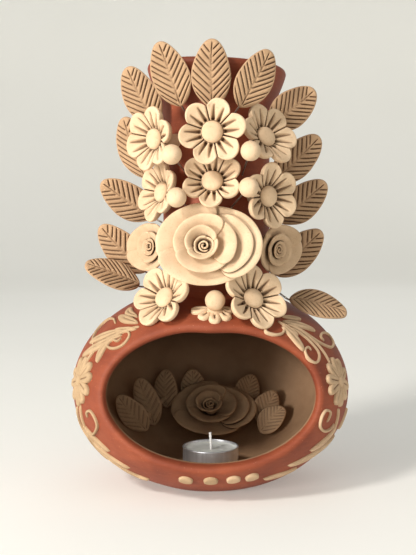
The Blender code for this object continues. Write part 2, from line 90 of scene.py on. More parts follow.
# The neck, whose place and radius come from its CAD node.
NECK_LOW, NECK_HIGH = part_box("neck")
RIM_RADIUS = (NECK_HIGH.x - NECK_LOW.x) / 2
NECK_X = (NECK_HIGH.x + NECK_LOW.x) / 2
NECK_RADIUS = 0.0375
FLUE_RADIUS = 0.0315
SEAT_Z = 0.130
NECK_TOP = 0.290
RIM_SLOPE = -0.045
RIM_SLOPE_FROM = 0.235
FILLET = 0.006

# Flowers, leaves and wires. LOBE is the share of a petal's length taken by its round end.
PETALS = 6
BUTTON_RADIUS = 0.0070
PEG_RADIUS = 0.0045
LOBE = 0.364
PETAL_THICKNESS = 0.0034
BUTTON_TOP = 0.0056
DENT_WIDTH = 0.00125
DENT_DEPTH = 0.0038
LEAF_THICKNESS = 0.0033
LEAF_SETBACK = {"leaf_right_1": 0.0022}  # keeps it behind the flower when it sways
WIRE_RADIUS = 0.0006

# Colours, linear. Painted shade darkens the slip towards the top of the bowl, between two heights over
# the pot's foot, and painted shade darkens creases and gaps up to GAP_REACH wide against open clay.
TERRACOTTA_DARK = (0.205, 0.042, 0.017)
TERRACOTTA_LIGHT = (0.315, 0.074, 0.029)
SLIP_DARK = (0.31, 0.180, 0.098)
SLIP_LIGHT = (0.43, 0.265, 0.152)
# painted shade for the bowl's upper inside
BOWL_TOP_SHADE = (0.045, 0.018, 0.006)
BOWL_TOP_SHADE_FROM = 0.055
BOWL_TOP_SHADE_FULL = 0.112
# painted shade for creases and gaps
CLAY_PAINTED_SHADE = (0.12, 0.058, 0.026)
GAP_REACH = 0.0030


# Meshes from rings of points


def skin(rings, closed=False):
    """Points and faces over rings of points. Open skins end in a pole at each end."""
    rings = np.asarray(rings, float)
    count, around = rings.shape[:2]
    points = rings.reshape(-1, 3)
    index = np.arange(count * around).reshape(count, around)
    near = index if closed else index[:-1]
    far = np.roll(index, -1, axis=0) if closed else index[1:]
    turned = (np.roll(near, -1, axis=1), np.roll(far, -1, axis=1))
    faces = np.stack([near, turned[0], turned[1], far], axis=-1).reshape(-1, 4).tolist()
    if not closed:
        for ring in (index[0], index[-1]):
            faces += [(int(a), int(b), len(points)) for a, b in zip(ring, np.roll(ring, -1))]
            points = np.vstack([points, points[ring].mean(0)])
    return points, faces


def mesh_from(name, parts, smooth_angle=50):
    """One mesh from several (points, faces)."""
    points, faces = [], []
    for part_points, part_faces in parts:
        start = sum(len(p) for p in points)
        points.append(np.asarray(part_points))
        faces += [[i + start for i in face] for face in part_faces]
    mesh = bpy.data.meshes.new(name)
    mesh.from_pydata(np.vstack(points).tolist(), [], faces)
    bm = bmesh.new()
    bm.from_mesh(mesh)
    bmesh.ops.remove_doubles(bm, verts=bm.verts, dist=0.000002)
    bmesh.ops.recalc_face_normals(bm, faces=bm.faces)
    bm.to_mesh(mesh)
    bm.free()
    mesh.shade_smooth()
    mesh.set_sharp_from_angle(angle=radians(smooth_angle))
    return mesh


def place(name, parts, node, material, matrix=None, smooth_angle=50):
    """A finished piece that stands for a CAD node and rides on its body."""
    obj = bpy.data.objects.new(name, mesh_from(name, parts, smooth_angle))
    bpy.context.scene.collection.objects.link(obj)
    obj.data.materials.append(material)
    if matrix is not None:
        obj.matrix_world = matrix
    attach(obj, frame["nodes"][node]["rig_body"])
    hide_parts(node)
    return obj


def seeded(name):
    return random.Random(zlib.crc32(name.encode()))


def ramp(value, low, high):
    share = np.clip((value - low) / (high - low), 0.0, 1.0)
    return share * share * (3 - 2 * share)


def roughen(points, amount, size, seed=0.0):
    """Points moved a little by smooth noise of that size, as hand-shaped clay is."""
    shift = Vector((seed, seed * 0.7, -seed))
    moved = [Vector(p) + noise.noise_vector(Vector(p) / size + shift) * amount for p in points]
    return np.array(moved)


def ball(centre, radius, seed, amount=0.00018):
    turns = np.linspace(0.04, pi - 0.04, 22)
    around = np.linspace(0, 2 * pi, 40, endpoint=False)
    rings = [
        [(radius * sin(t) * cos(a), radius * sin(t) * sin(a), radius * cos(t)) for a in around]
        for t in turns
    ]
    points, faces = skin(rings)
    return roughen(points, amount, radius * 0.9, seed) + np.array(centre), faces


def spline(points, count):
    """Points spread along a smooth curve through the given ones."""
    points = [Vector(p) for p in points]
    ends = [points[0] * 2 - points[1]] + points + [points[-1] * 2 - points[-2]]
    found = []
    for i in range(count):
        where = i / (count - 1) * (len(points) - 1)
        k = min(int(where), len(points) - 2)
        t = where - k
        a, b, c, d = ends[k : k + 4]
        square, cube = 2 * a - 5 * b + 4 * c - d, 3 * b - a - 3 * c + d
        found.append(0.5 * (2 * b + (c - a) * t + square * t**2 + cube * t**3))
    return found


def tube(points, radius, around=12):
    """A round tube along points, rounded at its ends."""
    points = [Vector(p) for p in points]
    rings = []
    side = (points[1] - points[0]).orthogonal().normalized()
    for i, point in enumerate(points):
        way = (points[min(i + 1, len(points) - 1)] - points[max(i - 1, 0)]).normalized()
        side = (side - side.dot(way) * way).normalized()
        other = way.cross(side)
        size = radius(i / (len(points) - 1)) if callable(radius) else radius
        turns = [2 * pi * j / around for j in range(around)]
        rings.append([point + (side * cos(a) + other * sin(a)) * size for a in turns])
    return skin([[tuple(p) for p in ring] for ring in rings])


# Where the CAD pieces are


def corners_of(node):
    return np.unique(np.round([v.co[:] for v in frame["nodes"][node].data.vertices], 6), axis=0)


def spread_of(node):
    """Middle and main directions of a CAD node's surface, from the narrowest to the longest."""
    mesh = frame["nodes"][node].data
    mesh.calc_loop_triangles()
    centres = np.array([t.center[:] for t in mesh.loop_triangles])
    areas = np.array([t.area for t in mesh.loop_triangles])
    middle = (centres * areas[:, None]).sum(0) / areas.sum()
    offset = centres - middle
    _, axes = np.linalg.eigh((offset * areas[:, None]).T @ offset)
    return middle, axes.T


def frame_from(x, y, z, origin):
    matrix = Matrix((Vector(x), Vector(y), Vector(z))).transposed().to_4x4()
    matrix.translation = Vector(origin)
    return matrix


def moved(matrix, part):
    points, faces = part
    return np.array([(matrix @ Vector(p))[:] for p in points]), faces


def turned_frame(node, away_from):
    """Frame of a turned piece: Z runs out along its axis, Y is as near up as it goes, and the
    origin is on its top, where the axis leaves it. Also gives the piece's points in that frame."""
    up = np.array((0.0, 0.0, 1.0))
    points = corners_of(node)
    middle, axes = spread_of(node)
    axis = axes[0]
    if axis @ (middle - np.array(away_from)) < 0:
        axis = -axis
    for depth in (0.001, 0.0003):
        heights = points @ axis
        foot = points[heights < heights.min() + depth].mean(0)
        offset = points - foot
        off_axis = np.linalg.norm(offset - np.outer(offset @ axis, axis), axis=1)
        upper = heights > (heights.min() + heights.max()) / 2
        top = points[upper][off_axis[upper].argmin()]
        axis = (top - foot) / np.linalg.norm(top - foot)
    y = up - axis * (axis @ up)
    y = y / np.linalg.norm(y)
    matrix = frame_from(np.cross(y, axis), y, axis, top)
    back = matrix.inverted()
    return matrix, np.array([(back @ Vector(p))[:] for p in points])


def leaf_frame(node):
    """Frame of a leaf: its base at the origin, its tip along Y, its face to Z; and its length and width."""
    points = corners_of(node)
    middle, axes = spread_of(node)
    normal, _, length_axis = axes
    if normal @ np.array((0.0, -0.8, 0.6)) < 0:
        normal = -normal
    wire_low, wire_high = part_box(node + "_wire")
    if length_axis @ (middle - np.array((wire_low + wire_high) / 2)) < 0:
        length_axis = -length_axis
    across = np.cross(length_axis, normal)
    lows = [(points @ a).min() for a in (across, length_axis, normal)]
    highs = [(points @ a).max() for a in (across, length_axis, normal)]
    base = across * (lows[0] + highs[0]) / 2 + length_axis * lows[1] + normal * (lows[2] + highs[2]) / 2
    return (
        frame_from(across, length_axis, normal, base),
        highs[1] - lows[1],
        highs[0] - lows[0],
    )


# The pot's surface


def mouth_on_sphere(angle, mouth, shell):
    dip = LIP_DIP * np.exp(-((mouth[0] * cos(angle) / LIP_DIP_WIDTH) ** 2)) if sin(angle) > 0 else 0.0
    x = mouth[0] * cos(angle) / shell[0]
    z = (mouth[2] - POT_CENTRE_Z + mouth[1] * sin(angle) - dip) / shell[1]
    return Vector((x, -sqrt(1 - x * x - z * z), z))


def stretched(point, shell):
    return Vector((point.x * shell[0], point.y * shell[0], POT_CENTRE_Z + point.z * shell[1]))


def front_point(angle, reach, mouth=MOUTH_OUTER, shell=POT):
    """A point of a shell's front: reach runs from its widest section to the mouth's edge."""
    start = Vector((cos(angle), 0, sin(angle)))
    return stretched(start.slerp(mouth_on_sphere(angle, mouth, shell), reach), shell)


def back_point(angle, turn, shell):
    side = sin(turn * pi / 2)
    return stretched(Vector((side * cos(angle), cos(turn * pi / 2), side * sin(angle))), shell)


def lip_point(angle, share):
    outer = front_point(angle, 1.0)
    inner = front_point(angle, 1.0, MOUTH_INNER, CAVITY)
    out = Vector((-0.35 * cos(angle), -0.9, -0.35 * sin(angle))).normalized()
    return outer.lerp(inner, share) + out * LIP_BULGE * sin(pi * share) ** 0.85


def on_pot(point, height=0.0):
    """The point of the pot's outer surface nearest the line to its centre, raised by height, and the
    direction out of the clay there."""
    offset = (Vector(point) - POT_CENTRE) / POT[0]
    offset.z *= POT[0] / POT[1]
    foot = stretched(offset.normalized(), POT)
    normal = Vector((foot.x, foot.y, 0)) / POT[0] ** 2
    normal.z = (foot.z - POT_CENTRE_Z) / POT[1] ** 2
    normal.normalize()
    return foot + normal * height, normal


def pot_height(x, y):
    return POT_CENTRE_Z + POT[1] * sqrt(max(0.0, 1 - (x * x + y * y) / POT[0] ** 2))


# Materials


def material_with(name, roughness, metallic=0.0):
    """A material, its nodes, a function that links sockets, and its main shader."""
    material = bpy.data.materials.new(name)
    material.use_nodes = True
    nodes = material.node_tree.nodes
    shader = nodes["Principled BSDF"]
    shader.inputs["Roughness"].default_value = roughness
    shader.inputs["Metallic"].default_value = metallic
    return material, nodes, material.node_tree.links.new, shader


def noise_node(nodes, link, scale, detail=4.0, roughness=0.55, stretch=None):
    """A noise texture on the object's own coordinates."""
    place_node = nodes.new("ShaderNodeTexCoord")
    source = place_node.outputs["Object"]
    if stretch:
        mapping = nodes.new("ShaderNodeMapping")
        mapping.inputs["Scale"].default_value = stretch
        link(source, mapping.inputs["Vector"])
        source = mapping.outputs["Vector"]
    texture = nodes.new("ShaderNodeTexNoise")
    texture.inputs["Scale"].default_value = scale
    texture.inputs["Detail"].default_value = detail
    texture.inputs["Roughness"].default_value = roughness
    link(source, texture.inputs["Vector"])
    return texture.outputs["Fac"]


def ramp_node(nodes, link, source, stops):
    """A colour ramp from (place, colour) stops."""
    node = nodes.new("ShaderNodeValToRGB")
    elements = node.color_ramp.elements
    while len(elements) < len(stops):
        elements.new(0.5)
    for element, (where, colour) in zip(elements, stops):
        element.position = where
        element.color = (*colour, 1.0)
    link(source, node.inputs["Fac"])
    return node.outputs["Color"]


def mix_node(nodes, link, share, first, second, blend="MIX"):
    node = nodes.new("ShaderNodeMix")
    node.data_type = "RGBA"
    node.blend_type = blend
    for socket, value in zip((node.inputs[0], node.inputs[6], node.inputs[7]), (share, first, second)):
        if isinstance(value, bpy.types.NodeSocket):
            link(value, socket)
        elif isinstance(value, tuple):
            socket.default_value = (*value, 1.0)
        else:
            socket.default_value = value
    return node.outputs[2]


def bump_node(nodes, link, height, strength, distance, before=None):
    node = nodes.new("ShaderNodeBump")
    node.inputs["Strength"].default_value = strength
    node.inputs["Distance"].default_value = distance
    link(height, node.inputs["Height"])
    if before:
        link(before, node.inputs["Normal"])
    return node.outputs["Normal"]


def painted_crease_shade(nodes, link, low, high):
    """Share of painted shade: 1 in creases and 0 on open clay, from the surface's own curvature."""
    geometry = nodes.new("ShaderNodeNewGeometry")
    node = nodes.new("ShaderNodeMapRange")
    node.inputs["From Min"].default_value = high
    node.inputs["From Max"].default_value = low
    link(geometry.outputs["Pointiness"], node.inputs["Value"])
    return node.outputs["Result"]


def painted_gap_shade(nodes, link, reach):
    """Share of painted shade: 1 down in the narrow gaps of a piece, such as between petals, and 0 on open
    clay.
    """
    gap = nodes.new("ShaderNodeAmbientOcclusion")
    gap.only_local = True
    gap.samples = 8
    gap.inputs["Distance"].default_value = reach
    node = nodes.new("ShaderNodeMapRange")
    node.inputs["From Min"].default_value = 0.62
    node.inputs["From Max"].default_value = 0.22
    link(gap.outputs["AO"], node.inputs["Value"])
    return node.outputs["Result"]


def clay_material(name, light, dark, crease):
    """Unglazed pale clay: cloudy tone, fine sandy grain, and the colour crease painted as shade in its
    creases and gaps.
    """
    material, nodes, link, shader = material_with(name, 0.82)
    cloud = noise_node(nodes, link, 70.0, 3.0)
    tone = ramp_node(nodes, link, cloud, [(0.32, dark), (0.68, light)])
    speck = noise_node(nodes, link, 900.0, 2.0)
    speckled = ramp_node(nodes, link, speck, [(0.30, (0.80, 0.76, 0.70)), (0.42, (1.0, 1.0, 1.0))])
    tone = mix_node(nodes, link, 0.55, tone, speckled, "MULTIPLY")
    # painted shade: creases and narrow gaps are mixed towards the crease colour
    tone = mix_node(nodes, link, painted_crease_shade(nodes, link, 0.45, 0.499), tone, crease)
    tone = mix_node(nodes, link, painted_gap_shade(nodes, link, GAP_REACH), tone, crease)
    link(tone, shader.inputs["Base Color"])
    grain = noise_node(nodes, link, 1500.0, 3.0, 0.7)
    lumps = noise_node(nodes, link, 220.0, 2.0)
    normal = bump_node(nodes, link, lumps, 0.25, 0.0006)
    normal = bump_node(nodes, link, grain, 0.22, 0.00022, normal)
    link(normal, shader.inputs["Normal"])
    shader.inputs["Specular IOR Level"].default_value = 0.25
    return material


def terracotta_tone(nodes, link):
    """Burnished red clay: streaks from the wheel, clouds of tone and pale mineral specks."""
    cloud = noise_node(nodes, link, 45.0, 5.0)
    tone = ramp_node(nodes, link, cloud, [(0.30, TERRACOTTA_DARK), (0.72, TERRACOTTA_LIGHT)])
    streak = noise_node(nodes, link, 60.0, 4.0, 0.6, (1.0, 1.0, 9.0))
    streaks = ramp_node(nodes, link, streak, [(0.35, (0.86, 0.82, 0.80)), (0.65, (1.08, 1.04, 1.0))])
    tone = mix_node(nodes, link, 0.6, tone, streaks, "MULTIPLY")
    speck = noise_node(nodes, link, 1100.0, 1.0)
    specks = ramp_node(nodes, link, speck, [(0.735, (0.0, 0.0, 0.0)), (0.77, (0.8, 0.8, 0.8))])
    return mix_node(nodes, link, specks, tone, (0.50, 0.23, 0.13))


def terracotta_finish(nodes, link, shader):
    grain = noise_node(nodes, link, 1100.0, 3.0, 0.65)
    hand = noise_node(nodes, link, 95.0, 3.0)
    normal = bump_node(nodes, link, hand, 0.35, 0.0010)
    normal = bump_node(nodes, link, grain, 0.20, 0.0002, normal)
    link(normal, shader.inputs["Normal"])
    shader.inputs["Specular IOR Level"].default_value = 0.35


def terracotta_material():
    material, nodes, link, shader = material_with("terracotta", 0.62)
    link(terracotta_tone(nodes, link), shader.inputs["Base Color"])
    terracotta_finish(nodes, link, shader)
    return material


def pot_material():
    """Terracotta outside and pale slip inside, with an uneven edge just within the mouth, and the slip
    painted darker towards the top of the bowl as painted shade.
    """
    material, nodes, link, shader = material_with("pot_clay", 0.66)
    place_node = nodes.new("ShaderNodeTexCoord")
    mapping = nodes.new("ShaderNodeMapping")
    mapping.vector_type = "POINT"
    mapping.inputs["Location"].default_value = (0.0, 0.0, -POT_CENTRE_Z / CAVITY[1])
    mapping.inputs["Scale"].default_value = (1 / CAVITY[0], 1 / CAVITY[0], 1 / CAVITY[1])
    link(place_node.outputs["Object"], mapping.inputs["Vector"])
    length = nodes.new("ShaderNodeVectorMath")
    length.operation = "LENGTH"
    link(mapping.outputs["Vector"], length.inputs[0])
    ragged = nodes.new("ShaderNodeMath")
    ragged.operation = "MULTIPLY_ADD"
    ragged.inputs[1].default_value = 0.018
    link(noise_node(nodes, link, 130.0, 4.0), ragged.inputs[0])
    link(length.outputs["Value"], ragged.inputs[2])
    inside = nodes.new("ShaderNodeMapRange")
    inside.inputs["From Min"].default_value = 1.034
    inside.inputs["From Max"].default_value = 1.018
    link(ragged.outputs[0], inside.inputs["Value"])
    slip_cloud = noise_node(nodes, link, 38.0, 5.0)
    slip = ramp_node(nodes, link, slip_cloud, [(0.30, SLIP_DARK), (0.70, SLIP_LIGHT)])
    apart = nodes.new("ShaderNodeSeparateXYZ")
    link(place_node.outputs["Object"], apart.inputs["Vector"])
    # painted shade: the slip darkens towards the top of the bowl
    top_shade = nodes.new("ShaderNodeMapRange")
    top_shade.interpolation_type = "SMOOTHSTEP"
    top_shade.inputs["From Min"].default_value = BOWL_TOP_SHADE_FROM
    top_shade.inputs["From Max"].default_value = BOWL_TOP_SHADE_FULL
    link(apart.outputs["Z"], top_shade.inputs["Value"])
    slip = mix_node(nodes, link, top_shade.outputs["Result"], slip, BOWL_TOP_SHADE)
    tone = mix_node(nodes, link, inside.outputs["Result"], terracotta_tone(nodes, link), slip)
    link(tone, shader.inputs["Base Color"])
    terracotta_finish(nodes, link, shader)
    return material


def wire_material():
    material, nodes, link, shader = material_with("dull_wire", 0.45, 0.9)
    streak = noise_node(nodes, link, 700.0, 3.0, 0.6, (1.0, 1.0, 0.2))
    tone = ramp_node(nodes, link, streak, [(0.3, (0.22, 0.18, 0.15)), (0.7, (0.50, 0.44, 0.38))])
    link(tone, shader.inputs["Base Color"])
    return material


def aluminium_material():
    """Pressed foil with soft upright drawing marks."""
    material, nodes, link, shader = material_with("tealight_foil", 0.34, 0.85)
    marks = noise_node(nodes, link, 420.0, 4.0, 0.6, (1.0, 1.0, 0.06))
    tone = ramp_node(nodes, link, marks, [(0.3, (0.60, 0.61, 0.64)), (0.7, (0.74, 0.75, 0.78))])
    link(tone, shader.inputs["Base Color"])
    rough = nodes.new("ShaderNodeMapRange")
    rough.inputs["To Min"].default_value = 0.28
    rough.inputs["To Max"].default_value = 0.48
    link(marks, rough.inputs["Value"])
    link(rough.outputs["Result"], shader.inputs["Roughness"])
    link(bump_node(nodes, link, marks, 0.3, 0.0002), shader.inputs["Normal"])
    return material


def wax_material():
    material, nodes, link, shader = material_with("paraffin_wax", 0.38)
    cloud = noise_node(nodes, link, 160.0, 3.0)
    tone = ramp_node(nodes, link, cloud, [(0.3, (0.55, 0.56, 0.52)), (0.7, (0.70, 0.71, 0.67))])
    link(tone, shader.inputs["Base Color"])
    shader.inputs["Subsurface Weight"].default_value = 0.35
    shader.inputs["Subsurface Radius"].default_value = (0.004, 0.004, 0.003)
    link(bump_node(nodes, link, cloud, 0.2, 0.0004), shader.inputs["Normal"])
    return material


def cotton_material():
    material, nodes, link, shader = material_with("waxed_cotton", 0.7)
    twist = noise_node(nodes, link, 1600.0, 2.0, 0.5, (1.0, 1.0, 0.5))
    tone = ramp_node(nodes, link, twist, [(0.3, (0.70, 0.69, 0.66)), (0.7, (0.93, 0.92, 0.90))])
    link(tone, shader.inputs["Base Color"])
    link(bump_node(nodes, link, twist, 0.5, 0.0002), shader.inputs["Normal"])
    return material


def floor_material():
    material, nodes, link, shader = material_with("pale_backdrop", 0.95)
    cloud = noise_node(nodes, link, 1.2, 2.0)
    tone = ramp_node(nodes, link, cloud, [(0.3, (0.740, 0.730, 0.680)), (0.7, (0.765, 0.755, 0.710))])
    link(tone, shader.inputs["Base Color"])
    link(tone, shader.inputs["Emission Color"])
    shader.inputs["Emission Strength"].default_value = 0.30
    shader.inputs["Specular IOR Level"].default_value = 0.0
    return material


# The last colour of each clay is the painted shade in its creases and gaps.
PALE_CLAY = clay_material("pale_clay", (0.74, 0.545, 0.355), (0.62, 0.435, 0.270), CLAY_PAINTED_SHADE)
TAN_CLAY = clay_material("tan_clay", (0.62, 0.435, 0.275), (0.51, 0.345, 0.205), CLAY_PAINTED_SHADE)
# a darker, shaded copy of tan clay: painted shade for the left relief
SHADED_RELIEF_CLAY = clay_material("deep_clay", (0.50, 0.345, 0.200), (0.41, 0.275, 0.155), CLAY_PAINTED_SHADE)
LEAF_CLAY = clay_material("leaf_clay", (0.51, 0.330, 0.190), (0.41, 0.255, 0.145), (0.11, 0.056, 0.028))
BOWL_CLAY = clay_material("bowl_clay", (0.52, 0.345, 0.205), (0.42, 0.270, 0.160), (0.12, 0.065, 0.034))
ROSE_CLAYS = {
    "rose_centre": PALE_CLAY,
    "rose_left": TAN_CLAY,
    "rose_right": TAN_CLAY,
    "rose_inner": BOWL_CLAY,
}
TERRACOTTA = terracotta_material()
POT_CLAY = pot_material()
WIRE = wire_material()
FOIL = aluminium_material()
WAX = wax_material()
COTTON = cotton_material()


# The pot and the neck


def smooth_floor(z, level, bend):
    """The higher of z and level, with a soft bend where they meet."""
    return (z + level + sqrt((z - level) ** 2 + bend**2)) / 2


def make_pot():
    angles = [2 * pi * i / 176 for i in range(176)]
    rings = [[back_point(a, t / 34, POT) for a in angles] for t in range(1, 34)]
    rings += [[front_point(a, t / 26) for a in angles] for t in range(27)]
    rings += [[lip_point(a, s / 14) for a in angles] for s in range(1, 14)]
    outside = len(rings)
    rings += [[front_point(a, t / 26, MOUTH_INNER, CAVITY) for a in angles] for t in range(26, -1, -1)]
    rings += [[back_point(a, t / 34, CAVITY) for a in angles] for t in range(33, 0, -1)]
    shaped = []
    for number, ring in enumerate(rings):
        level, bend = (0.0, 0.0012) if number < outside else (FLOOR_Z, FLOOR_BEND)
        moved = [p + noise.noise_vector(p / 0.030) * 0.00045 for p in ring]
        shaped.append([(p.x, p.y, smooth_floor(p.z, level, bend)) for p in moved])
    obj = place("pot_body_look", [skin(shaped)], "pot_body", POT_CLAY)
    cut_neck_hole(obj)


def cut_neck_hole(obj):
    """The stepped hole under the neck: a seat, and the flue below it."""
    profile = [(0.0, 0.16), (0.0381, 0.16), (0.0381, SEAT_Z), (FLUE_RADIUS, SEAT_Z), (FLUE_RADIUS, 0.10)]
    profile.append((0.0, 0.10))
    rings = [lathe_ring(max(r, 0.0001), z, 96) for r, z in profile]
    hole = bpy.data.objects.new("neck_hole", mesh_from("neck_hole", [skin(rings)]))
    bpy.context.scene.collection.objects.link(hole)
    hole.location.x = NECK_X
    modifier = obj.modifiers.new("Neck hole", "BOOLEAN")
    modifier.object = hole
    modifier.operation = "DIFFERENCE"
    bpy.context.view_layer.update()
    graph = bpy.context.evaluated_depsgraph_get()
    cut = bpy.data.meshes.new_from_object(obj.evaluated_get(graph))
    obj.modifiers.clear()
    obj.data = cut
    cut.shade_smooth()
    cut.set_sharp_from_angle(angle=radians(50))
    bpy.data.objects.remove(hole, do_unlink=True)


def lathe_ring(radius, z, steps, x=0.0):
    turns = [2 * pi * i / steps for i in range(steps)]
    return [(x + radius * cos(a), radius * sin(a), z) for a in turns]


def neck_profile():
    """(radius, height) from the fillet's top up round the lip and down the flue."""
    top = NECK_TOP
    shape = [(NECK_RADIUS, 0.145), (NECK_RADIUS, 0.190), (NECK_RADIUS, top - 0.047)]
    shape += [(0.0384, top - 0.034), (0.0418, top - 0.022), (0.0462, top - 0.011)]
    shape += [(RIM_RADIUS - 0.0003, top - 0.0052), (RIM_RADIUS, top - 0.0030)]
    shape += [(RIM_RADIUS - 0.0009, top - 0.0009), (0.0455, top), (0.0436, top - 0.0012)]
    shape += [(0.0418, top - 0.0050), (0.0385, top - 0.0150), (0.0336, top - 0.0300)]
    shape += [(FLUE_RADIUS, top - 0.0430), (FLUE_RADIUS, 0.190), (FLUE_RADIUS, SEAT_Z + 0.0004)]
    return [(p.x, p.y) for p in spline([(r, z, 0) for r, z in shape], 110)]


def make_neck():
    steps = 120
    turns = [2 * pi * i / steps for i in range(steps)]
    rings = []
    for i in range(13, 0, -1):
        spread = FILLET * i / 13
        rise = FILLET - sqrt(FILLET**2 - (FILLET - spread) ** 2)
        radius = NECK_RADIUS + spread
        ring = [(NECK_X + radius * cos(a), radius * sin(a)) for a in turns]
        rings.append([(x, y, pot_height(x, y) + rise - 0.0004) for x, y in ring])
    for radius, z in neck_profile():
        rings.append(lathe_ring(radius, z, steps, NECK_X))
    rings.append(lathe_ring(NECK_RADIUS + FILLET, SEAT_Z - 0.0030, steps, NECK_X))
    shaped = []
    for ring in rings:
        moved = [Vector(p) + noise.noise_vector(Vector(p) / 0.035) * 0.0004 for p in ring]
        for p in moved:
            share = max(0.0, p.z - RIM_SLOPE_FROM) / (NECK_TOP - RIM_SLOPE_FROM)
            p.z += RIM_SLOPE * (p.x - NECK_X) * share
        shaped.append([p[:] for p in moved])
    place("neck_look", [skin(shaped, closed=True)], "neck", TERRACOTTA)


# The tealight


def make_tealight():
    low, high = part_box("tealight_cup")
    centre = (low + high) / 2
    radius, height = (high.x - low.x) / 2, high.z - low.z
    stand = Matrix.Translation((centre.x, centre.y, low.z))
    make_cup(radius, height, stand)
    wax_low, wax_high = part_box("tealight_wax")
    level = wax_high.z - low.z - 0.0006
    edge = (wax_high.x - wax_low.x) / 2
    profile = [(0.0006, level), (0.002, level + 0.0003), (0.004, level - 0.0002), (edge * 0.6, level)]
    profile += [(edge * 0.9, level + 0.0002), (edge, level + 0.0011), (edge, 0.0012), (0.0006, 0.0012)]
    rings = [lathe_ring(r, z, 72) for r, z in profile]
    place("tealight_wax_look", [skin(rings)], "tealight_wax", WAX, stand)
    wick_low, wick_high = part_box("tealight_wick")
    top = wick_high.z - low.z
    thick = (wick_high.x - wick_low.x) / 2
    bend = [(0, 0, 0.0014), (0.0002, 0, level), (0.0001, 0.0002, (level + top) / 2), (-0.0003, 0, top)]
    body = tube(spline(bend, 30), lambda t: thick * (0.82 + 0.10 * sin(46 * t)), 14)
    place("tealight_wick_look", [body], "tealight_wick", COTTON, stand)


def make_cup(radius, height, stand):
    """The foil cup, with fine upright flutes and a rolled rim."""
    wall = 0.0005
    profile = [(0.0005, 0.0), (radius - 0.0022, 0.0), (radius - 0.0010, 0.0003), (radius - 0.0003, 0.0012)]
    profile += [(radius - 0.0003, height * 0.5), (radius - 0.0003, height - 0.0014)]
    for turn in range(9):
        a = radians(-60 + turn * 33)
        profile.append((radius - 0.0006 + 0.0006 * cos(a), height - 0.0007 + 0.0006 * sin(a)))
    inside = radius - wall - 0.0008
    profile += [(inside, height - 0.0016), (inside, 0.0010), (0.0005, 0.0008)]
    rings = []
    for r, z in profile:
        ring = []
        for i in range(216):
            a = 2 * pi * i / 216
            flute = 0.00006 * cos(72 * a) if 0.001 < z < height - 0.0018 and r > radius - 0.0005 else 0.0
            ring.append(((r + flute) * cos(a), (r + flute) * sin(a), z))
        rings.append(ring)
    points, faces = skin(rings)
    points = roughen(points, 0.00012, 0.012, 3.1)
    place("tealight_cup_look", [(points, faces)], "tealight_cup", FOIL, stand)


# Flowers


def petal_grid(radius, petals, rand):
    """Columns round a flower, with each column's petal number, place across it and outline radius."""
    per_petal = 40
    theta = 2 * pi * np.arange(petals * per_petal) / (petals * per_petal)
    number = np.round(theta * petals / (2 * pi)).astype(int)
    across = (theta - number * 2 * pi / petals) / (pi / petals)
    number = number % petals
    grow = np.array([rand.uniform(0.955, 1.0) for _ in range(petals)])[number]
    angle = across * pi / petals
    centre = 1 - LOBE
    lobe = centre * np.cos(angle) + np.sqrt(LOBE**2 - (centre * np.sin(angle)) ** 2)
    return theta, number, across, radius * grow * lobe


def flower_parts(radius, back, name):
    """A pressed flower: domed button, cupped petals with two deep dents each, and a peg behind.
    Z faces out, and the first petal is at +Y."""
    rand = seeded(name)
    theta, number, across, outline = petal_grid(radius, PETALS, rand)
    lift = np.array([rand.uniform(-0.0005, 0.0005) for _ in range(PETALS)])[number]
    dents = np.array([[rand.uniform(-0.05, 0.05) for _ in range(4)] for _ in range(PETALS)])[number]
    foot = BUTTON_RADIUS + 0.0003
    half = PETAL_THICKNESS / 2
    rings = []

    def add(r, z):
        r, z = np.broadcast_to(r, theta.shape), np.broadcast_to(z, theta.shape)
        rings.append(np.stack([r * np.sin(theta), r * np.cos(theta), z], axis=-1))

    for q in (0.03, 0.2, 0.4, 0.58, 0.72, 0.83, 0.91, 0.96, 0.99, 1.0):
        add(BUTTON_RADIUS * q, 0.0002 + 0.0036 * (1 - q**3) ** 0.5)
    add(foot - 0.0001, -0.0006)
    edge_from = 1 - half / (radius - foot)
    edge_shares = 1 - (1 - edge_from) * np.linspace(0.92, 0, 12) ** 2
    shares = np.concatenate([np.linspace(0, edge_from, 26), edge_shares])

    def middle(s):
        return -0.0005 + 0.0056 * s**1.15 + lift * ramp(s, 0.15, 0.6)

    def round_edge(s):
        return np.sqrt(np.clip(1 - (np.maximum(s - edge_from, 0) / (1 - edge_from)) ** 2, 0, 1))

    def side_edge(r, width):
        gap = np.clip(r * np.sin((1 - np.abs(across)) * pi / PETALS) / width, 0, 1)
        return np.sqrt(1 - (1 - gap) ** 2)

    for s in shares:
        r = foot + (outline - foot) * s
        z = middle(s) + half * round_edge(s) * (2.3 * side_edge(r, 0.0014) - 1.3)
        z = z + 0.0006 * (1 - across**2) * sin(pi * s)
        for j, side in enumerate((-1, 1)):
            line = side * (0.40 - 0.05 * s) + dents[:, j]
            distance = (across - line) * (pi / PETALS) * r
            width = DENT_WIDTH * (1 - 0.50 * s)
            end = 0.76 + dents[:, j + 2]
            depth = DENT_DEPTH * ramp(s, -0.05, 0.07) * np.clip(1 - s / end, 0, 1) ** 0.7
            z = z - depth * np.exp(-np.abs(distance / width) ** 3)
        add(r, z)
    for s in (0.98, 0.93, 0.85, 0.7, 0.5, 0.3, 0.1, 0.0):
        r = foot + (outline - foot) * s
        add(r, middle(s) - half * round_edge(s) * (0.85 + 0.65 * side_edge(r, 0.0021)) - 0.0012 * (1 - s))
    add(0.0060, -0.0044)
    add(PEG_RADIUS * 1.08, -0.0050)
    for share in (0.2, 0.5, 0.8, 0.97, 1.0):
        add(PEG_RADIUS * (1 if share < 0.9 else 1.04), -0.0052 + (back + 0.0052) * share)
    points, faces = skin(rings)
    return [(roughen(points, 0.00028, 0.009, rand.uniform(0, 50)), faces)]


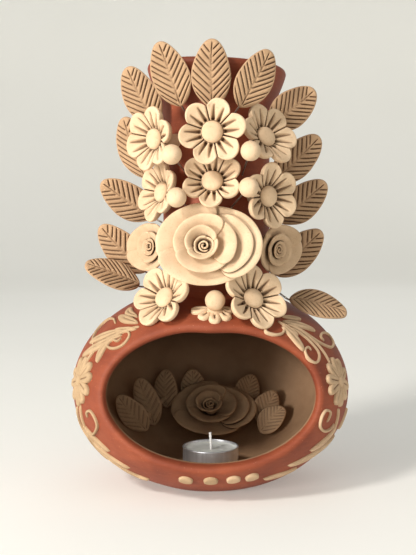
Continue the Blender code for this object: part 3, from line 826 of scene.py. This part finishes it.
def make_flower(node):
    low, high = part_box(node)
    matrix, points = turned_frame(node, (NECK_X, 0, low.z / 2 + high.z / 2))
    reach = np.hypot(points[:, 0], points[:, 1])
    far = points[reach > reach.max() * 0.99]
    petal = far[far[:, 1].argmax()]
    spin = -np.arctan2(petal[0], petal[1])
    foot = matrix @ Matrix.Translation((0, 0, -BUTTON_TOP)) @ Matrix.Rotation(spin, 4, "Z")
    parts = flower_parts(reach.max(), points[:, 2].min() + BUTTON_TOP - 0.0004, node)
    place(node + "_look", parts, node, PALE_CLAY, foot)


# Roses


class Rose:
    """Half-widths, depth and back of a rose, in its own frame, and its growing list of sheets."""

    def __init__(self, left, right, up, down, depth, back, name):
        self.left, self.right, self.up, self.down = left, right, up, down
        self.depth, self.back = depth, back
        self.rand = seeded(name)
        self.parts = []

    def reach(self, angle):
        """Distance from the middle to the outline at an angle."""
        x = self.right if cos(angle) > 0 else self.left
        y = self.up if sin(angle) > 0 else self.down
        return 1 / hypot(cos(angle) / x, sin(angle) / y)

    def petal(self, centre, start, end, root, rim, root_z, rim_z, lift, thick, flare=1.3):
        """A petal from start to end, in degrees, between a root circle and its rim. root is a
        radius, rim is a function of the angle, and heights are shares of the depth."""
        columns, rings = 46, []
        shares = [0, 0.12, 0.25, 0.4, 0.55, 0.68, 0.78, 0.86, 0.92, 0.96, 0.985, 1.0]
        for i in range(columns + 1):
            u = -1 + 2 * i / columns
            u = np.sign(u) * (1 - (1 - abs(u)) ** 1.5)
            angle = radians(start + (end - start) * (u + 1) / 2)
            full = rim(angle) * (1.03 - 0.035 * (u + 1)) * (1 - 0.03 * u * u)
            full += 0.0003 * noise.noise(Vector((angle * 2.2, lift * 900, root * 500)))
            reach = (1 - abs(u) ** 9) ** 0.30
            outer = root + (full - root) * reach
            end_taper = sqrt(max(0.0, 1 - max(0.0, (abs(u) - 0.93) / 0.07) ** 2))
            front, rear = [], []
            rise = (rim_z - root_z) * self.depth * reach
            for s in shares:
                r = root + (outer - root) * s
                z = root_z * self.depth + rise * (1 - (1 - s) ** flare) - lift * u * s
                taper = sqrt(max(0.0, 1 - max(0.0, (s - 0.86) / 0.14) ** 2)) * end_taper
                slope = rise * flare * max(1 - s, 0.02) ** (flare - 1) / max(outer - root, 0.001)
                tilt = 1 / sqrt(1 + slope * slope)
                half = thick / 2 * taper
                for side, row in ((1, front), (-1, rear)):
                    shift = -slope * tilt * half * side
                    x = centre[0] + (r + shift) * cos(angle)
                    y = centre[1] + (r + shift) * sin(angle)
                    row.append((x, y, z + tilt * half * side))
            rings.append(front + rear[::-1])
        self.parts.append(skin(rings))

    def bud(self, centre, radius, turns, low, high):
        """A strip rolled into a tight upright bud."""
        rings, count = [], 120
        for i in range(count):
            t = i / (count - 1)
            angle = radians(100) + turns * 2 * pi * t
            r = 0.0007 + (radius - 0.0007) * t**0.9
            top = (high - 0.10 * t) * self.depth + 0.0003 * sin(5 * angle)
            bottom = low * self.depth
            half = 0.00062 * sqrt(max(0.0, 1 - abs(2 * t - 1) ** 14))
            ring = []
            for j in range(10):
                a = pi * j / 9
                out, up = half * cos(a), half * sin(a)
                flare = 0.0006 * t
                ring.append(((r + out + flare) * cos(angle), (r + out + flare) * sin(angle), top + up))
            ring.append(((r - half) * cos(angle), (r - half) * sin(angle), bottom))
            ring.append(((r + half) * cos(angle), (r + half) * sin(angle), bottom))
            rings.append([(centre[0] + x, centre[1] + y, z) for x, y, z in ring])
        self.parts.append(skin(rings))

    def base(self):
        """The closed clay behind the petals, and its peg."""
        turns = [2 * pi * i / 72 for i in range(72)]
        edge = [(self.reach(a) * cos(a), self.reach(a) * sin(a)) for a in turns]
        profile = [(0.02, 0.42), (0.30, 0.38), (0.62, 0.34), (0.78, 0.38), (0.74, 0.30), (0.57, 0.15)]
        profile += [(0.40, 0.05), (0.28, 0.0)]
        rings = []
        for share, z in profile:
            rings.append([(x * share, y * share, z * self.depth) for x, y in edge])
        for z in (-0.0012, -0.0025, self.back * 0.6, self.back):
            rings.append([(PEG_RADIUS * cos(a), PEG_RADIUS * sin(a), min(z, -0.0012)) for a in turns])
        self.parts.append(skin(rings))

    def petal_ring(self, centre, seams, root, size, root_z, rim_z, lift, thick, overlap=16, flare=1.3):
        """Petals between seams, each lapping over the next at its clockwise end. size is the
        rim's half-width, as a function of the side, and its half-height."""

        def rim(angle):
            return 1 / hypot(cos(angle) / size[0](cos(angle)), sin(angle) / size[1])

        for start, end in zip(seams, seams[1:]):
            span = (start - overlap, end + overlap)
            self.petal(centre, *span, root, rim, root_z, rim_z, lift, thick, flare)


def make_rose(node, material):
    away = (NECK_X, 0, (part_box(node)[0].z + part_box(node)[1].z) / 2)
    if node == "rose_inner":
        away = (0.0, 0.09, 0.0)
    matrix, points = turned_frame(node, away)
    reach = np.hypot(points[:, 0], points[:, 1])
    widest_z = np.median(points[reach > reach.max() * 0.97][:, 2])
    depth = (points[:, 2].max() - widest_z) / (0.98 - 0.60)
    top = 0.92 * depth
    left, right, up = -points[:, 0].min(), points[:, 0].max(), points[:, 1].max()
    rose = Rose(left, right, up, -points[:, 1].min(), depth, points[:, 2].min() + top, node)
    rose.base()
    if node in ("rose_centre", "rose_inner"):
        fill_full_rose(rose)
    else:
        fill_side_rose(rose, left > right)
    piece = [(roughen(p, 0.0003, 0.010, rose.rand.uniform(0, 50)), f) for p, f in rose.parts]
    foot = matrix @ Matrix.Translation((0, 0, -top))
    place(node + "_look", piece, node, material, foot)


def fill_full_rose(rose):
    """Three broad outer petals and one tucked behind on the right, three middle ones, two inner
    ones and the bud, which sits a little low."""
    width, height = rose.right, rose.up
    outer = (lambda side: width * 1.03, height * 1.03)
    rose.petal_ring((0, 0), [88, 200, 312, 448], width * 0.25, outer, 0.08, 0.60, 0.0027, 0.0020)
    tucked = (lambda side: width * 0.86, height * 0.86)
    rose.petal_ring((0, 0), [-48, 62], width * 0.22, tucked, 0.20, 0.80, 0.0004, 0.0018)
    middle = (lambda side: width * (0.62 if side > 0 else 0.60), height * 0.73)
    at = (-width * 0.055, -height * 0.01)
    rose.petal_ring(at, [54, 205, 322, 414], width * 0.14, middle, 0.28, 0.98, 0.0018, 0.0019)
    inner = (lambda side: width * 0.325, height * 0.42)
    at = (-width * 0.10, height * 0.00)
    rose.petal_ring(at, [20, 215, 380], width * 0.07, inner, 0.40, 1.14, 0.0010, 0.0017)
    at = (-width * 0.055, -height * 0.075)
    small = (lambda side: width * 0.185, height * 0.225)
    rose.petal_ring(at, [-60, 80, 190, 300], width * 0.11, small, 0.50, 1.06, 0.0006, 0.0015, 12, 1.0)
    rose.bud(at, width * 0.088, 1.6, 0.55, 1.10)


def fill_side_rose(rose, faces_left):
    """Three outer petals round a recessed inner ring and bud, set towards the neck's front."""
    width, height = (rose.left + rose.right) / 2, rose.up
    seams = [-70, 40, 200, 290] if faces_left else [-110, 20, 140, 250]
    outer = (lambda side: rose.right if side > 0 else rose.left, height)
    rose.petal_ring((0, 0), seams, width * 0.22, outer, 0.25, 0.80, 0.0010, 0.0022)
    inner = (lambda side: width * 0.54, height * 0.66)
    rose.petal_ring((0, 0), [s + 55 for s in seams], width * 0.10, inner, 0.40, 1.02, 0.0008, 0.0018)
    small = (lambda side: width * 0.27, height * 0.36)
    rose.petal_ring((0, 0), [-60, 120, 300], width * 0.06, small, 0.50, 1.00, 0.0006, 0.0013)
    rose.bud((0, 0), width * 0.14, 1.6, 0.5, 0.98)


# Leaves


def leaf_parts(length, width, name, grooves=8, rows=104, columns=56, groove=0.00115):
    """A pressed leaf with a midrib groove and slanted side grooves. Its base is at the origin, its
    tip at +Y and its face to +Z."""
    rand = seeded(name)
    half = LEAF_THICKNESS / 2
    v = np.concatenate([[0.0008, 0.003], np.linspace(0.008, 0.992, rows), [0.997, 0.9992]])[:, None]
    u = np.sin(np.linspace(-pi / 2, pi / 2, columns))[None, :]
    outline = np.sin(pi * v**0.88) ** (0.72 - 0.24 * v) * width / 2
    bent = 0.0010 * rand.uniform(-1, 1) * np.sin(pi * v)
    x = u * outline + bent
    y = v * length + 0 * u
    curl = 0.0016 * (1 - (2 * v - 1) ** 2)
    curl = curl + 0.0008 * rand.uniform(-0.5, 1) * np.abs(u) ** 2 * np.sin(pi * v)
    end_round = half / length
    ends = np.clip(np.minimum(v, 1 - v) / end_round, 0, 1)
    body = half * np.sqrt(1 - u**4) * np.sqrt(1 - (1 - ends) ** 2)
    off = np.abs(x - bent)
    midrib = groove * np.exp(-(((x - bent) / 0.00036) ** 2)) * ramp(v, 0.03, 0.10) * ramp(1 - v, 0.02, 0.08)
    spacing = length * 0.80 / grooves
    cut = np.zeros_like(x)
    fade = ramp(off, 0.0004, 0.0014) * ramp(outline * 0.97 - off, 0.0, 0.0012)
    for side, first in ((-1, 0.05), (1, 0.5)):
        for number in range(grooves + 1):
            start = length * 0.03 + spacing * (number + first - 0.5 + rand.uniform(-0.09, 0.09))
            slope = 1.05 + rand.uniform(-0.07, 0.07)
            distance = (y - slope * off - start) / sqrt(1 + slope * slope)
            line = groove * np.exp(-((distance / 0.00040) ** 2)) * fade
            cut = np.where((np.sign(x - bent) == side) & (line > cut), line, cut)
    front = curl + body - midrib - cut
    rear = curl - body
    rings = []
    for i in range(len(v)):
        top = np.stack([x[i], y[i], front[i]], axis=-1)
        under = np.stack([x[i], y[i], rear[i]], axis=-1)[::-1][1:-1]
        rings.append(np.vstack([top, under]))
    points, faces = skin(rings)
    return [(roughen(points, 0.00035, 0.012, rand.uniform(0, 50)), faces)]


def make_leaf(node):
    matrix, length, width = leaf_frame(node)
    matrix = matrix @ Matrix.Translation((0, 0, -LEAF_SETBACK.get(node, 0.0)))
    place(node + "_look", leaf_parts(length, width, node), node, LEAF_CLAY, matrix, 60)
    make_wire(node, matrix @ Vector((0, 0.0035, 0.0002)))


def make_wire(node, end):
    """A slightly bent wire from the neck to a point inside its leaf or bud."""
    points = corners_of(node + "_wire")
    _, axes = spread_of(node + "_wire")
    along = points @ axes[2]
    first = Vector(points[along < along.min() + 0.0008].mean(0))
    last = Vector(points[along > along.max() - 0.0008].mean(0))
    if (first - end).length < (last - end).length:
        first, last = last, first
    sag = (last - first).normalized().orthogonal() * 0.0003
    middle = (first + last) / 2 + sag
    path = spline([first, middle, last, end], 22)
    place(node + "_wire_look", [tube(path, WIRE_RADIUS, 12)], node + "_wire", WIRE)


def make_bud(node):
    low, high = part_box(node)
    centre = (low + high) / 2
    radius = (high.z - low.z) / 2
    shape = ball((0, 0, 0), radius * 0.97, seeded(node).uniform(0, 50))
    place(node + "_look", [shape], node, PALE_CLAY, Matrix.Translation(centre))
    make_wire(node, centre)


# Inner leaves, as rows of base, tip and the azimuth and elevation that the face turns to.
INNER_LEAVES = {
    "inner_leaves_left": (
        ((-0.0475, 0.0315, 0.0260), (-0.0690, 0.0280, 0.0530), -20, 15),
        ((-0.0423, 0.0440, 0.0270), (-0.0550, 0.0440, 0.0640), -15, 10),
        ((-0.0340, 0.0610, 0.0370), (-0.0350, 0.0630, 0.0670), -20, 10),
        ((-0.0129, 0.0700, 0.0370), (-0.0146, 0.0720, 0.0660), 0, 10),
    ),
    "inner_leaves_right": (
        ((0.0235, 0.0640, 0.0390), (0.0332, 0.0690, 0.0620), 5, 10),
        ((0.0367, 0.0500, 0.0280), (0.0504, 0.0560, 0.0510), 10, 15),
        ((0.0380, 0.0360, 0.0230), (0.0561, 0.0430, 0.0410), -20, 35),
    ),
}
INNER_LEAF_WIDTH = 0.0200


def direction(azimuth, elevation):
    a, e = radians(azimuth), radians(elevation)
    return Vector((sin(a) * cos(e), -cos(a) * cos(e), sin(e)))


def make_inner_leaves(node):
    """The leaves of one group, on the twig that joins them."""
    parts, knots = [], []
    for number, (base, tip, azimuth, elevation) in enumerate(INNER_LEAVES[node]):
        base, tip = Vector(base), Vector(tip)
        y = (tip - base).normalized()
        z = direction(azimuth, elevation)
        z = (z - z.dot(y) * y).normalized()
        matrix = frame_from(y.cross(z), y, z, base)
        leaf = leaf_parts((tip - base).length, INNER_LEAF_WIDTH, f"{node}{number}", 6, 64, 40, 0.0005)
        parts += [moved(matrix, part) for part in leaf]
        knots.append(base.lerp(tip, 0.26))
    parts.append(tube(spline(knots, 30), 0.0020, 14))
    place(node + "_look", parts, node, BOWL_CLAY)


# Relief pressed on the pot. Paths are (angle in degrees round the mouth, reach from the widest
# section at 0 to the mouth's edge at 1).


def pot_path(points, count):
    """A smooth path on the pot through (angle, reach) points."""
    knots = [front_point(radians(a), r, RELIEF_OVAL) for a, r in points]
    return [on_pot(p)[0] for p in spline(knots, count)]


def stroke(path, width, height, crease=0.0):
    """A raised pad along a path on the pot. width is a function of the share along the path that
    gives the half-width, and crease is the depth of a groove down the middle."""
    across = np.cos(np.linspace(pi, 0, 11))
    rings = []
    for i, point in enumerate(path):
        t = i / (len(path) - 1)
        way = (path[min(i + 1, len(path) - 1)] - path[max(i - 1, 0)]).normalized()
        foot, normal = on_pot(point)
        side = normal.cross(way).normalized()
        half = width(t)
        ends = sqrt(max(0.0, 1 - abs(2 * t - 1) ** 10))
        top, under = [], []
        for c in across:
            where = foot + side * (c * half)
            rise = height * ends * (1 - c**4) ** 0.5
            dent = crease * np.exp(-((c / 0.20) ** 2)) * ramp(t, 0.02, 0.15) * ramp(1 - t, 0.12, 0.45)
            top.append(on_pot(where, max(rise - dent, 0.0))[0][:])
            under.append(on_pot(where, -0.0007)[0][:])
        rings.append(top + under[::-1])
    return skin(rings)


def teardrop(half_width, blunt=0.62):
    """Half-width of a leaf-like pad: narrow at its root, widest past its middle, blunt at its tip."""

    def half(t):
        if not 0 < t < 1:
            return 0.0002
        return half_width * (0.16 + 0.84 * sin(pi * min(1.0, t**1.25)) ** blunt)

    return half


def thread(half_width):
    """Half-width of a scroll, which swells a little at its start and ends round."""
    return lambda t: half_width * (1.15 - 0.25 * t) * sqrt(max(0.02, 1 - abs(2 * t - 1) ** 24))


def blade(points, half_width, height=0.0017, crease=0.0007, count=26):
    return stroke(pot_path(points, count), teardrop(half_width), height, crease)


def scroll(points, half_width=0.00085, height=0.0015, count=70):
    return stroke(pot_path(points, count), thread(half_width), height)


def make_relief(node, parts):
    shaped = [(roughen(p, 0.00012, 0.006, 2.0), f) for p, f in parts]
    # painted shade: the left relief gets the darker, shaded copy of tan clay
    clay = SHADED_RELIEF_CLAY if node.endswith("left") else TAN_CLAY
    place(node + "_look", shaped, node, clay)


def make_daisy(node):
    """Ten creased petals round a small button, pressed on the pot."""
    matrix, points = turned_frame(node, POT_CENTRE)
    radius = np.hypot(points[:, 0], points[:, 1]).max()
    petals = 10
    rand = seeded(node)
    parts = []
    for i in range(petals):
        angle = 2 * pi * (i + rand.uniform(-0.12, 0.12)) / petals
        reach = radius * rand.uniform(0.96, 1.06)
        way = Vector((sin(angle), cos(angle), 0))
        path = [on_pot(matrix @ (way * (0.0022 + (reach - 0.0022) * t / 19)))[0] for t in range(20)]
        parts.append(stroke(path, teardrop(radius * 0.215, 0.5), 0.0022, 0.0011))
    turns = np.linspace(0, 2 * pi, 28, endpoint=False)

    def ring(r, level):
        return [on_pot(matrix @ Vector((r * cos(a), r * sin(a), 0)), level)[0][:] for a in turns]

    domed = (0.05, 0.35, 0.6, 0.8, 0.93, 1.0)
    rings = [ring(0.0040 * q, 0.0012 + 0.0019 * sqrt(1 - q * q)) for q in domed]
    rings.append(ring(0.0038, -0.0007))
    make_relief(node, parts + [skin(rings)])


def make_sprays():
    make_relief("spray_upper_left", [
        blade([(123, 0.60), (126, 0.42), (125, 0.30)], 0.0032),
        blade([(124, 0.72), (128, 0.55), (131, 0.36)], 0.0036),
        blade([(126, 0.80), (131, 0.72), (136, 0.60)], 0.0026),
        scroll([(150, 0.48), (147, 0.30), (142, 0.17), (137, 0.18), (134, 0.34), (134, 0.47)]),
        blade([(132, 0.70), (142, 0.54), (151, 0.36)], 0.0034),
        blade([(134, 0.76), (147, 0.62), (159, 0.40)], 0.0037),
        blade([(138, 0.70), (147, 0.72), (156, 0.79)], 0.0033),
        scroll([(144, 0.70), (144, 0.80), (141, 0.88), (136, 0.90), (131, 0.84), (131, 0.74), (135, 0.69),
                (139, 0.73), (138, 0.80), (135, 0.79)]),
        scroll([(124, 0.78), (134, 0.72), (146, 0.62), (160, 0.60)], 0.0011),
    ])
    make_relief("spray_upper_right", [
        scroll([(63, 0.88), (62, 0.95), (57, 0.94), (54, 0.87), (55, 0.77), (59, 0.72)]),
        blade([(58, 0.62), (54, 0.56), (49, 0.46)], 0.0024),
        blade([(57, 0.70), (49, 0.60), (40, 0.48)], 0.0032),
        blade([(57, 0.74), (52, 0.77), (46, 0.80)], 0.0026),
        blade([(56, 0.78), (48, 0.84), (38, 0.93)], 0.0036),
        scroll([(54, 0.67), (41, 0.66), (33, 0.60), (28, 0.46), (28, 0.28), (32, 0.20), (36, 0.36),
                (36, 0.50), (33, 0.50)]),
        scroll([(52, 0.72), (41, 0.74), (32, 0.77), (28, 0.85), (28, 0.93), (33, 0.96), (38, 0.91),
                (38, 0.84), (35, 0.84)]),
        scroll([(55, 0.70), (42, 0.69), (32, 0.69), (21, 0.72)], 0.0007),
    ])
    make_relief("spray_lower_left", [
        scroll([(186, 0.64), (197, 0.58), (208, 0.54), (219, 0.50), (232, 0.52)], 0.0012),
        scroll([(188, 0.52), (200, 0.40), (210, 0.42)], 0.0011),
        scroll([(194, 0.74), (190, 0.78), (189, 0.85), (193, 0.90), (199, 0.89), (203, 0.80), (205, 0.70),
                (204, 0.60)]),
        blade([(200, 0.58), (208, 0.66), (218, 0.75)], 0.0026),
        blade([(210, 0.54), (220, 0.60), (232, 0.71)], 0.0030),
        blade([(226, 0.52), (235, 0.55), (243, 0.63)], 0.0028),
        blade([(206, 0.46), (214, 0.36), (224, 0.34)], 0.0026),
    ] + [dot(angle, reach) for angle, reach in ((258, 0.92), (270, 0.945))])
    make_relief("spray_lower_right", [
        scroll([(352, 0.70), (346, 0.66), (338, 0.62), (330, 0.66)], 0.0012),
        scroll([(342, 0.68), (338, 0.74), (337, 0.84), (340, 0.95), (347, 0.99), (352, 0.95), (350, 0.86),
                (343, 0.86)]),
        blade([(340, 0.58), (332, 0.66), (322, 0.80)], 0.0032),
        blade([(334, 0.38), (322, 0.62), (308, 0.83)], 0.0036),
        blade([(310, 0.62), (302, 0.70), (294, 0.78)], 0.0028),
        blade([(350, 0.34), (344, 0.30), (337, 0.36)], 0.0022),
    ] + [dot(angle, reach) for angle, reach in ((281, 0.94), (290, 0.91))])


def dot(angle, reach):
    """A thumbed oval of clay under the mouth."""
    path = pot_path([(angle - 3.6, reach), (angle, reach), (angle + 3.6, reach)], 22)
    return stroke(path, lambda t: 0.0050 * sqrt(max(0.0005, 1 - (2 * t - 1) ** 2)), 0.0018)


def make_low_bud():
    """A ball on a small cushion over the mouth, with blossom petals pressed round its foot."""
    node = "bud_low"
    radius = 0.0066
    low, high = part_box(node)
    middle = Vector(((low.x + high.x) / 2, low.y + radius, high.z - radius))
    foot, z = on_pot(middle)
    x = Vector((1, 0, 0))
    x = (x - x.dot(z) * z).normalized()
    total = (middle - foot).length + radius
    matrix = frame_from(x, z.cross(x), z, middle + z * radius)
    parts = [ball((0, 0, -radius), radius, 7.0)]
    profile = [(0.0012, -2 * radius + 0.0030), (0.0042, -2 * radius + 0.0010), (0.0052, -2 * radius)]
    profile += [(0.0060, -total + 0.0022), (0.0062, -total + 0.0010), (0.0056, -total - 0.0006)]
    parts.append(skin([lathe_ring(r, z, 40) for r, z in profile]))
    placed = [moved(matrix, part) for part in parts]
    for turn, length in ((-80, 0.0160), (-40, 0.0150), (0, 0.0160), (40, 0.0150), (78, 0.0120)):
        way = x * sin(radians(turn)) - z.cross(x) * cos(radians(turn))
        path = [on_pot(foot + way * (0.0040 + (length - 0.0040) * t / 17))[0] for t in range(18)]
        placed.append(stroke(path, teardrop(0.0040, 0.45), 0.0026, 0.0016))
    place(node + "_look", placed, node, PALE_CLAY)


# The stage, the light and the camera


def make_stage():
    """A pale floor that curves up into a round backdrop."""
    profile = [(0.01, 0.0), (0.3, 0.0), (1.2, 0.0), (2.2, 0.0)]
    profile += [(2.2 + 0.9 * sin(radians(a)), 0.9 - 0.9 * cos(radians(a))) for a in range(10, 91, 8)]
    profile.append((3.1, 1.6))
    rings = [lathe_ring(r, z, 96) for r, z in profile]
    points, faces = skin(rings)
    faces = [face for face in faces if len(points) - 1 not in face]
    mesh = bpy.data.meshes.new("floor")
    mesh.from_pydata(points.tolist(), [], faces)
    mesh.shade_smooth()
    floor = bpy.data.objects.new("floor", mesh)
    bpy.context.scene.collection.objects.link(floor)
    mesh.materials.append(floor_material())


def area_light(name, place_at, target, size, power, colour):
    data = bpy.data.lights.new(name, "AREA")
    data.shape = "DISK"
    data.size = size
    data.energy = power
    data.color = colour
    light = bpy.data.objects.new(name, data)
    bpy.context.scene.collection.objects.link(light)
    light.location = place_at
    light.rotation_euler = (Vector(target) - Vector(place_at)).to_track_quat("-Z", "Y").to_euler()
    light.visible_camera = False


LIGHTS = (
    # name, place, target, size, watts, colour
    ("key", (-0.95, -1.10, 1.15), (0, 0, 0.16), 0.32, 21.0, (1.0, 0.970, 0.93)),
    ("window", (-1.15, -1.15, 0.24), (0, 0, 0.08), 0.40, 19.0, (1.0, 0.970, 0.93)),
    ("fill", (1.3, -1.0, 0.7), (0, 0, 0.14), 1.2, 2.0, (1.0, 0.98, 0.96)),
    ("back", (0.3, 1.6, 1.3), (0, 0, 0.16), 1.4, 4.0, (1.0, 1.0, 1.0)),
)
SKY_STRENGTH = 0.32
CAMERA_AT = (-0.0018, -0.65, 0.184)
CAMERA_TILT = 86.4
CAMERA_LENS = 59.5


def light_scene():
    bpy.context.scene.view_settings.view_transform = "Standard"
    world = bpy.data.worlds.new("studio")
    bpy.context.scene.world = world
    world.use_nodes = True
    background = world.node_tree.nodes["Background"]
    background.inputs["Color"].default_value = (0.96, 0.98, 1.0, 1.0)
    background.inputs["Strength"].default_value = SKY_STRENGTH
    for row in LIGHTS:
        area_light(*row)


def add_camera():
    data = bpy.data.cameras.new("camera")
    data.lens = CAMERA_LENS
    data.clip_end = 20.0
    camera = bpy.data.objects.new("camera", data)
    bpy.context.scene.collection.objects.link(camera)
    camera.location = CAMERA_AT
    camera.rotation_euler = (radians(CAMERA_TILT), 0, 0)
    bpy.context.scene.camera = camera


def main():
    add_camera()
    light_scene()
    make_stage()
    make_pot()
    make_neck()
    make_tealight()
    for node in sorted(frame["nodes"]):
        if node.startswith("flower_"):
            make_flower(node)
        elif node.startswith("rose_"):
            make_rose(node, ROSE_CLAYS[node])
        elif node.startswith("leaf_") and not node.endswith("_wire"):
            make_leaf(node)
        elif node.startswith("bud_") and not node.endswith("_wire") and node != "bud_low":
            make_bud(node)
        elif node.startswith("inner_leaves_"):
            make_inner_leaves(node)
        elif node.startswith("daisy_"):
            make_daisy(node)
    make_low_bud()
    make_sprays()


main()
